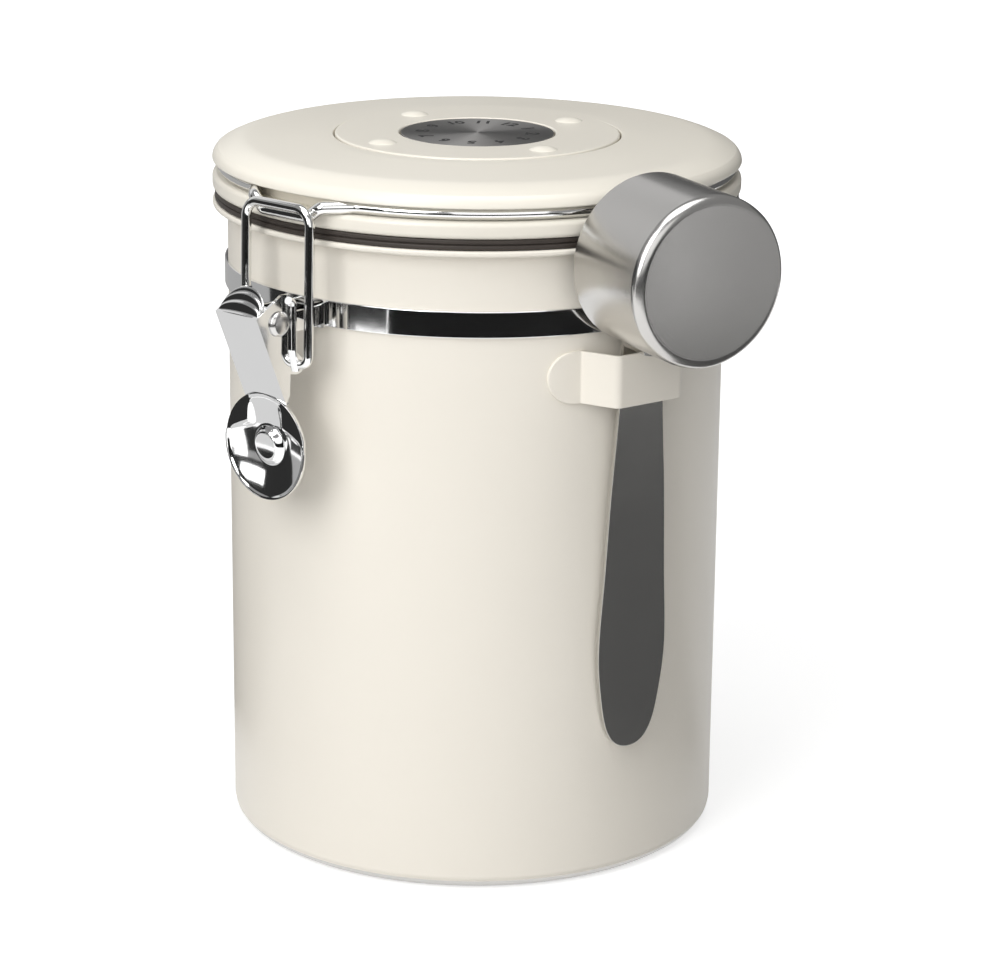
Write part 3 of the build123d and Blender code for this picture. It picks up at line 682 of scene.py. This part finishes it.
def lidCover():
    top, low = coverBox[1].z, base["flangeTop"] + cover["wireGap"]
    wall = cover["wall"]
    floorLevel = top - cover["floorDrop"]
    profile = [(cover["screwHole"], floorLevel, 0), (cover["recess"], floorLevel, 0),
               (cover["recess"], top, cover["recessRound"])]
    for i in range(cover["domeRings"] + 1):
        radius = cover["flat"] + (lipRadius - cover["flat"]) * i / cover["domeRings"]
        last = i == cover["domeRings"]
        profile.append((radius, crown(radius, top), cover["edgeRound"] if last else 0))
    inside = cover["skirt"] - wall
    profile += [
        (lipRadius, low, cover["lowRound"]), (cover["skirt"], low, 0),
        (cover["skirt"], low - cover["skirtDepth"], 0), (inside, low - cover["skirtDepth"], 0),
        (inside, crown(inside, top) - wall, 0), (cover["flat"], top - wall, 0),
        (cover["recess"] + wall, top - wall, 0), (cover["recess"] + wall, floorLevel - wall, 0),
        (cover["screwHole"], floorLevel - wall, 0),
    ]
    placePiece("lidCover", lathe(profile), [creamPlastic], "lid", "lid_plastic", "lid_cover")


lidWireSizes = {
    "radius": 0.00145, "ring": 0.0608, "level": 0.16345,
    "tabHalf": 0.0070, "tabOut": 0.0652, "tabLevel": 0.1609, "shoulderHalf": 0.0105, "shoulderOut": 0.0648,
    "armReach": 0.0183, "lead": 0.0025,
    "hingeHalf": 0.0082, "hingeOut": 0.0670, "hingeLevel": 0.1460, "hingeReach": 0.0178,
    "tabBends": (4, 1.4, 1.4), "hingeBends": (4, 2, 1.6),     # in radii of the wire, from the ring outwards
    "ringSteps": 60,
}


def leavePoint(reach, side):
    # where the wire leaves its ring, and the way it runs on towards the middle
    ring = lidWireSizes["ring"]
    along = math.sqrt(1 - (reach / ring) ** 2)
    start = Vector((reach, side * ring * along, lidWireSizes["level"]))
    return start, Vector((-along, side * reach / ring, 0))


def mirrored(points):
    return [Vector((-p.x, p.y, p.z)) for p in reversed(points)]


def mirroredPath(half, bends):
    # a bent path that runs on across the middle as the mirror of its first half
    return bentPath(half + mirrored(half), bends + bends[::-1])


def lidWire():
    size = lidWireSizes
    thick = size["radius"]
    start, run = leavePoint(size["armReach"], -1)
    tab = mirroredPath([
        start, start + run * size["lead"],
        Vector((size["shoulderHalf"], -size["shoulderOut"], size["level"])),
        Vector((size["tabHalf"], -size["tabOut"], size["tabLevel"])),
    ], [bend * thick for bend in size["tabBends"]])
    start, run = leavePoint(size["hingeReach"], 1)
    loop = mirroredPath([
        start, start + run * size["lead"],
        Vector((size["hingeHalf"], size["hingeOut"], size["level"])),
        Vector((size["hingeHalf"], size["hingeOut"], size["hingeLevel"])),
    ], [bend * thick for bend in size["hingeBends"]])
    firstTurn = math.asin(size["armReach"] / size["ring"])
    lastTurn = math.pi - math.asin(size["hingeReach"] / size["ring"])
    side = []
    for i in range(1, size["ringSteps"]):
        turn = firstTurn + (lastTurn - firstTurn) * i / size["ringSteps"]
        side.append(Vector((-size["ring"] * math.sin(turn), -size["ring"] * math.cos(turn), size["level"])))
    path = tab + side + loop[::-1] + mirrored(side)
    wirePiece("lidWire", path, thick, True, brightWire, "lid", "plated_wire", "lid_wire")


# month dial
dial = {
    "foot": 0.0160, "step": 0.01875, "stepLevel": 0.0008, "edge": 0.0005, "nubHeight": 0.0009,
    "nubs": 4, "nubTurn": -13.8, "nubPlace": 0.0271, "nubRadius": 0.0034, "nubSink": 0.00001,
    "nubPower": 2.4, "nubRings": 10, "nubSteps": 32,
}


def dialRing():
    low = dialBox[0].z
    top = dialBox[1].z - dial["nubHeight"]
    outer = dialBox[1].x
    step = low + dial["stepLevel"]
    bm = lathe([
        (dial["foot"], low, 0), (outer, low, 0), (outer, top, dial["edge"]),
        (dial["step"], top, dial["edge"]), (dial["step"], step, 0), (dial["foot"], step, 0),
    ])
    for i in range(dial["nubs"]):
        profile = []
        for k in range(dial["nubRings"] + 1):
            share = k / dial["nubRings"]
            height = dial["nubHeight"] * (1 - share ** dial["nubPower"])
            profile.append((dial["nubRadius"] * share, height, 0))
        nub = lathe(profile, closed=False, steps=dial["nubSteps"])
        turn = math.radians(dial["nubTurn"] + 360 * i / dial["nubs"])
        nub.transform(Matrix.Translation((dial["nubPlace"] * math.sin(turn),
                                          -dial["nubPlace"] * math.cos(turn), top - dial["nubSink"])))
        mesh = bpy.data.meshes.new("nub")
        nub.to_mesh(mesh)
        nub.free()
        bm.from_mesh(mesh)
        bpy.data.meshes.remove(mesh)
    placePiece("dialRing", bm, [creamPlastic], "dial", "dial_plastic", "dial_ring")


months = {
    "edge": 0.00015, "rise": 0.00025, "brushed": 0.85, "brushTurn": 0.25,
    "turn": 95.5, "place": 0.0131, "size": 0.0046, "thickness": 0.00003, "bold": 0.00012, "count": 12,
}


def monthDisc():
    low, high = discBox[0].z, discBox[1].z + months["rise"]
    outer = discBox[1].x
    bm = lathe([(0, low, 0), (outer, low, 0), (outer, high, months["edge"]), (0, high, 0)], closed=False)
    disc = newFinish("spunSteel")
    shader = disc.node_tree.nodes["Principled BSDF"]
    shader.inputs["Anisotropic"].default_value = months["brushed"]
    shader.inputs["Anisotropic Rotation"].default_value = months["brushTurn"]
    tangent = disc.node_tree.nodes.new("ShaderNodeTangent")
    tangent.direction_type = "RADIAL"
    tangent.axis = "Z"
    disc.node_tree.links.new(tangent.outputs["Tangent"], shader.inputs["Tangent"])
    placePiece("monthDisc", bm, [disc], "lid", "disc_steel", "month_disc")
    numerals = bmesh.new()
    for month in range(1, months["count"] + 1):
        data = bpy.data.curves.new("numeral", "FONT")
        data.body = str(month)
        data.size = months["size"]
        data.extrude = months["thickness"]
        data.offset = months["bold"]
        data.align_x = "CENTER"
        data.align_y = "CENTER"
        data.resolution_u = 3
        text = bpy.data.objects.new("numeral", data)
        mesh = bpy.data.meshes.new_from_object(text)
        turn = math.radians(months["turn"] - 360 * month / months["count"])
        outward = Matrix.Translation((months["place"] * math.cos(turn), months["place"] * math.sin(turn),
                                      high + months["thickness"] / 2))
        mesh.transform(outward @ Matrix.Rotation(turn - math.pi / 2, 4, "Z"))
        numerals.from_mesh(mesh)
        bpy.data.meshes.remove(mesh)
        bpy.data.objects.remove(text)
        bpy.data.curves.remove(data)
    placePiece("monthNumerals", numerals, [newFinish("blackInk")], "lid", None)


# clasp
bail = {
    "radius": 0.00115, "half": 0.0101, "footHalf": 0.0055, "footOut": 0.0686, "footLevel": 0.1274,
    "topOut": 0.0677, "topLevel": 0.1631, "topBend": 0.0040, "footBend": 0.0022,
}


def claspBail():
    path = mirroredPath([
        Vector((bail["footHalf"], -bail["footOut"], bail["footLevel"])),
        Vector((bail["half"], -bail["footOut"], bail["footLevel"])),
        Vector((bail["half"], -bail["topOut"], bail["topLevel"])),
    ], [bail["footBend"], bail["topBend"]])
    wirePiece("claspBail", path, bail["radius"], False, brightWire, "bail", "plated_wire", "clasp_bail")


lever = {
    "half": 0.0066, "sheet": 0.0008, "fold": 0.0010, "foldAngle": 30, "foldSegments": 5,
    "frontFrom": 0.0755,          # faces across the lever are kept only from here outwards
    # the side view, outwards and up, from the tip over the crest down to the hook, and from there to the pad
    "upper": [(0.08144, 0.13986), (0.07732, 0.14202), (0.07319, 0.14418), (0.07044, 0.14396),
              (0.07033, 0.13208)],
    "hook": (0.0686, 0.1274), "hookRadius": 0.00245, "hookFrom": 180, "hookSweep": 100, "hookSteps": 6,
    "lower": [(0.07077, 0.12539), (0.07110, 0.12042), (0.07220, 0.11826)],
}


def sidePoint(place, across):
    # a point of the clasp's side view, given as outwards and up
    return Vector((across, -place[0], place[1]))


def claspLever():
    around = []
    for i in range(lever["hookSteps"] + 1):
        turn = math.radians(lever["hookFrom"] + lever["hookSweep"] * i / lever["hookSteps"])
        around.append((lever["hook"][0] + lever["hookRadius"] * math.cos(turn),
                       lever["hook"][1] + lever["hookRadius"] * math.sin(turn)))
    outline = [*lever["upper"], *around, *lever["lower"]]
    bm = bmesh.new()
    side = bm.faces.new([bm.verts.new(sidePoint(place, -lever["half"])) for place in outline])
    moved = bmesh.ops.extrude_face_region(bm, geom=[side], use_keep_orig=True)["geom"]
    bmesh.ops.translate(bm, verts=[v for v in moved if isinstance(v, bmesh.types.BMVert)],
                        vec=(2 * lever["half"], 0, 0))
    crossing = [face for face in bm.faces if abs(face.calc_center_median().x) < lever["half"] / 2]
    spared = [face for face in crossing if face.calc_center_median().y > -lever["frontFrom"]]
    front = [face for face in crossing if face not in spared]
    bmesh.ops.delete(bm, geom=spared, context="FACES_ONLY")
    bmesh.ops.delete(bm, geom=[edge for edge in bm.edges if not edge.link_faces], context="EDGES")
    faceTowards(bm, front, Vector((0, -1, 0)))
    roundEdges(bm, edgesOver(bm, lever["foldAngle"]), lever["fold"], lever["foldSegments"])
    placePiece("leverChannel", bm, [chrome], "lever", "plated_steel", "clasp_lever", sheet=lever["sheet"])


pad = {
    "out": 0.0727, "level": 0.1075, "radius": 0.01255, "sheet": 0.0008,
    "bowlLevel": -0.0006, "bowlRadius": 0.0119, "bowlDepth": 0.0019,
    "boss": (0.0032, 0.0049), "bossHeight": 0.0017, "bossTilt": 0.10,
    "neck": (0.0040, 0.0056), "landLevel": 0.0016, "landSlope": 0.42, "landBlend": 0.0008,
    "rim": (0.01155, 0.01235), "lip": 0.0003, "rings": 48, "steps": 160, "sharpAngle": 60,
}


def smooth(value, low, high):
    share = min(1.0, max(0.0, (value - low) / (high - low)))
    return share * share * (3 - 2 * share)


def padHeight(across, up):
    # how far the pad's face stands out of its plane: a bowl with a boss in it and a lip round it,
    # and a flat land each side of the neck
    centre = math.hypot(across, up)
    hollow = 1 - (math.hypot(across, up - pad["bowlLevel"]) / pad["bowlRadius"]) ** 2
    landFoot = pad["landLevel"] + pad["landSlope"] * (pad["radius"] - abs(across))
    land = smooth(up, landFoot - pad["landBlend"], landFoot + pad["landBlend"])
    land *= smooth(abs(across), *pad["neck"])
    dished = pad["lip"] * smooth(centre, *pad["rim"]) - pad["bowlDepth"] * max(0.0, hollow)
    boss = 1 - smooth(centre, *pad["boss"])
    return dished * (1 - land) + boss * (pad["bossHeight"] + pad["bossTilt"] * up)


def claspPad():
    profile = [(pad["radius"] * i / pad["rings"], 0, 0) for i in range(pad["rings"] + 1)]
    bm = lathe(profile, closed=False, steps=pad["steps"])
    for vert in bm.verts:
        across, up = vert.co.x, vert.co.y
        vert.co = Vector((across, -pad["out"] - padHeight(across, up), pad["level"] + up))
    faceTowards(bm, bm.faces, Vector((0, -1, 0)))
    placePiece("leverPad", bm, [chrome], "lever", "plated_steel", "clasp_lever",
               sharpAngle=pad["sharpAngle"], sheet=pad["sheet"])


nose = {
    "low": (0.0812, 0.1397), "rear": (0.0771, 0.1424), "rise": 0.0030, "half": 0.0064,
    "sideShare": 0.35, "rib": 0.00034, "ribs": 3, "across": 64, "deep": 64,
    "sheet": 0.0006, "sharpAngle": 70,
}


def leverNose():
    # the domed, ribbed end that closes the top of the lever
    bm = bmesh.new()
    bmesh.ops.create_grid(bm, x_segments=nose["across"], y_segments=nose["deep"], size=1.0)
    for vert in bm.verts:
        side, depth = vert.co.x, (vert.co.y + 1) / 2
        arch = math.sqrt(max(0.0, 1 - side * side))
        reach = depth * (nose["sideShare"] + (1 - nose["sideShare"]) * arch)
        out, up = (low + (rear - low) * reach for low, rear in zip(nose["low"], nose["rear"]))
        up += nose["rise"] * arch * math.sin(depth * math.pi / 2)
        up += nose["rib"] * math.cos(2 * math.pi * nose["ribs"] * depth) * arch
        vert.co = sidePoint((out, up), side * nose["half"])
    faceTowards(bm, bm.faces, Vector((0, 0, 1)))
    placePiece("leverNose", bm, [chrome], "lever", "plated_steel",
               sharpAngle=nose["sharpAngle"], sheet=nose["sheet"])


# side view of the beads down the lever's edges
bead = {
    "across": 0.0068, "radius": 0.0009, "bends": (0.0012, 0.0030),
    "line": [(0.0713, 0.1426), (0.0701, 0.1420), (0.0701, 0.1308), (0.0690, 0.1260)],
}


def leverBeads():
    for name, side in (("leverBeadRight", 1), ("leverBeadLeft", -1)):
        path = bentPath([sidePoint(place, side * bead["across"]) for place in bead["line"]], bead["bends"])
        wirePiece(name, path, bead["radius"], False, chrome, "lever", "plated_steel")


rivet = {
    "out": 0.0744, "level": 0.1377, "shaft": 0.0015, "half": 0.00665,
    "head": 0.0029, "headHeight": 0.00125, "rim": 0.00035, "rimRound": 0.0001,
    # radius and height as shares of the head's, and how far the edge there is rounded
    "dome": [(0, 1, 0), (0.55, 0.97, 0), (0.80, 0.80, 0.0002), (0.93, 0.50, 0.0002)],
    "steps": 64, "shaftSteps": 32, "sharpAngle": 50,
}


def rivetPlace(side):
    # brings a shape's Z axis onto the rivet's, with its origin at the given share of the half width
    place = Matrix.Translation((side * rivet["half"], -rivet["out"], rivet["level"]))
    return place @ Matrix.Rotation(math.copysign(math.pi / 2, side), 4, "Y")


def claspRivet():
    head = rivet["head"]
    profile = [(head * share, rivet["headHeight"] * height, edge) for share, height, edge in rivet["dome"]]
    profile += [(head, rivet["rim"], rivet["rimRound"]), (head, 0, 0), (0, 0, 0)]
    for name, side in (("rivetRight", 1), ("rivetLeft", -1)):
        bm = lathe(profile, closed=False, steps=rivet["steps"])
        bm.transform(rivetPlace(side))
        placePiece(name, bm, [rivetSteel], "canister", "plated_steel", "clasp_rivet",
                   sharpAngle=rivet["sharpAngle"])
    bm = bmesh.new()
    bmesh.ops.create_cone(bm, cap_ends=False, segments=rivet["shaftSteps"], radius1=rivet["shaft"],
                          radius2=rivet["shaft"], depth=2 * rivet["half"])
    bm.transform(rivetPlace(0))
    placePiece("rivetShaft", bm, [chrome], "canister", "plated_steel", "clasp_rivet")


# scoop
scoop = {
    "turn": 77.5, "twist": 6.0, "out": 0.065744, "level": 0.15222, "lean": 1.8,
    "radius": 0.0197, "depth": 0.0262, "wall": 0.0007, "bottomRound": 0.0024, "rimRound": 0.0003,
}


def scoopPlace():
    # the cup is drawn with its axis along Z and its rim at the origin
    turn = Matrix.Rotation(math.radians(scoop["turn"] - 90), 4, "Z")
    place = Matrix.Translation((scoop["out"], 0, scoop["level"]))
    twist = Matrix.Rotation(-math.radians(scoop["twist"]), 4, "Z")
    lean = Matrix.Rotation(math.radians(scoop["lean"]), 4, "Y")
    return turn @ place @ twist @ lean @ Matrix.Rotation(math.pi / 2, 4, "Y")


def scoopCup():
    radius, depth, wall = scoop["radius"], scoop["depth"], scoop["wall"]
    bm = lathe([
        (0, depth, 0), (radius, depth, scoop["bottomRound"]), (radius, 0, scoop["rimRound"]),
        (radius - wall, 0, scoop["rimRound"]), (radius - wall, depth - wall, scoop["bottomRound"] - wall),
        (0, depth - wall, 0),
    ], closed=False)
    bm.transform(scoopPlace())
    steel = newFinish("drawnSteel", scoopPlace().inverted())
    placePiece("scoopCup", bm, [steel], "scoop", "scoop_steel", "scoop_cup")


creamPaint = newFinish("paintedCream")
creamPlastic = newFinish("mouldedCream")
chrome = newFinish("chromePlate")
brightWire = newFinish("brightWire")
rivetSteel = newFinish("rivetSteel")
silicone = newFinish("darkSilicone")
handleSteel = newFinish("handleSteel")
valvePlastic = newFinish("valvePlastic")
felt = newFinish("filterFelt")
print("stage: finishes made")

canisterBody()
neckBand()
lidGasket()
lidBase()
lidCover()
lidWire()
dialRing()
monthDisc()
print("stage: canister, lid and dial made")

claspBail()
claspLever()
claspPad()
leverNose()
leverBeads()
claspRivet()
print("stage: clasp made")

# piece, node, rounding of its edges, distance within which its points are merged, finish, body, slot
solidCopies = [
    ("scoopHandle", "scoop_handle", 0.00012, 4e-5, handleSteel, "scoop", "scoop_steel"),
    ("scoopHolder", "scoop_holder", 0.00018, 1e-6, creamPaint, "canister", "body_enamel"),
    ("claspBracket", "clasp_bracket", 0.00015, 1e-6, chrome, "canister", "plated_steel"),
    ("hingeBracket", "hinge_bracket", 0.00015, 1e-6, chrome, "canister", "plated_steel"),
]
scoopCup()
for values in solidCopies:
    solidCopy(*values)
print("stage: scoop and brackets made")

# the hidden solids keep their own shape
keptFinishes = {
    "dial_hub": creamPlastic, "dial_screw": chrome, "valve_body": valvePlastic, "valve_cap": valvePlastic,
    "valve_grille": valvePlastic, "valve_nut": valvePlastic, "valve_flap": silicone, "valve_filter": felt,
}
for node, material in keptFinishes.items():
    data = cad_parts[node].data
    data.materials.clear()
    data.materials.append(material)

scene.view_settings.view_transform = "Standard"
